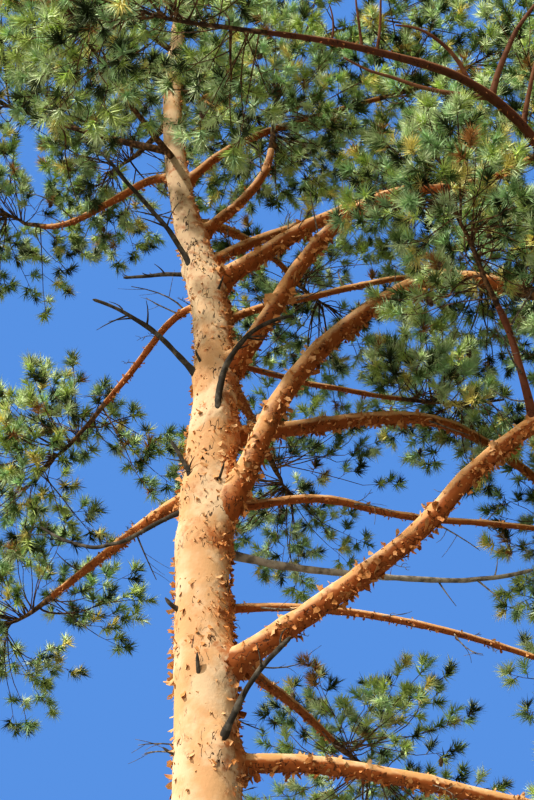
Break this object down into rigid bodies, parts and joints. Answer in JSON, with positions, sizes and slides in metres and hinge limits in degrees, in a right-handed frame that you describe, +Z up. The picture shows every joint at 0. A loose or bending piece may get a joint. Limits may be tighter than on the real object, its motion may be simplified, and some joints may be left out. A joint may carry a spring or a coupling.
{
  "type": "scots pine tree",
  "caption": "Whole scots pine with a tall bare orange trunk, boughs that reach mostly to one side, dead limbs and an open crown of needle foliage.",
  "frame": {"origin": "middle of the trunk's flat cut at ground level", "axes": "+Z up the trunk; +X towards the side that most of the big boughs reach to; +Y towards the far side as pictured"},
  "size_m": [4.7247, 5.3988, 11.3811],
  "materials": {
    "trunk_bark": "flaking bark, orange above and grey-brown near the ground",
    "bough_bark": "thin flaking orange-brown bark",
    "dead_wood": "weathered grey-brown",
    "needles": "blue-green needles, slightly waxy"
  },
  "bodies": {
    "root": {"trunk": "trunk_bark", "bough_low_right": "bough_bark", "bough_great_right": "bough_bark", "bough_great_right_crook": "bough_bark", "bough_great_right_fork": "bough_bark", "bough_arching_right": "bough_bark", "bough_steep_right": "bough_bark", "bough_twin_right": "bough_bark", "bough_slim_over_twin": "bough_bark", "bough_forked_right": "bough_bark", "bough_high_right": "bough_bark", "bough_middle_right": "bough_bark", "bough_slender_right": "bough_bark", "bough_drooping_right": "bough_bark", "bough_thin_right": "bough_bark", "bough_inner_right": "bough_bark", "bough_hanging_left": "bough_bark", "bough_upper_left": "bough_bark", "bough_low_back": "bough_bark", "bough_back_left": "bough_bark", "bough_middle_back": "bough_bark", "bough_tall_back": "bough_bark", "dead_high_left": "dead_wood", "dead_short_left": "dead_wood", "dead_middle_left": "dead_wood", "dead_stub_left": "dead_wood", "dead_low_left": "dead_wood", "dead_curved_front": "dead_wood", "dead_low_front": "dead_wood", "dead_pale_right": "dead_wood", "foliage_low_right": "needles", "foliage_great_right_crook": "needles", "foliage_great_right_fork": "needles", "foliage_arching_right": "needles", "foliage_steep_right": "needles", "foliage_twin_right": "needles", "foliage_slim_over_twin": "needles", "foliage_forked_right": "needles", "foliage_high_right": "needles", "foliage_middle_right": "needles", "foliage_slender_right": "needles", "foliage_drooping_right": "needles", "foliage_thin_right": "needles", "foliage_inner_right": "needles", "foliage_hanging_left": "needles", "foliage_upper_left": "needles", "foliage_low_back": "needles", "foliage_back_left": "needles", "foliage_middle_back": "needles", "foliage_tall_back": "needles", "foliage_high_front": "needles", "foliage_rising_left": "needles", "foliage_high_back": "needles", "foliage_upper_back": "needles", "foliage_top_right": "needles", "foliage_top_left": "needles", "foliage_upper_front": "needles", "foliage_crest_left": "needles", "foliage_crest_right": "needles", "foliage_leader": "needles"}
  },
  "joints": []
}
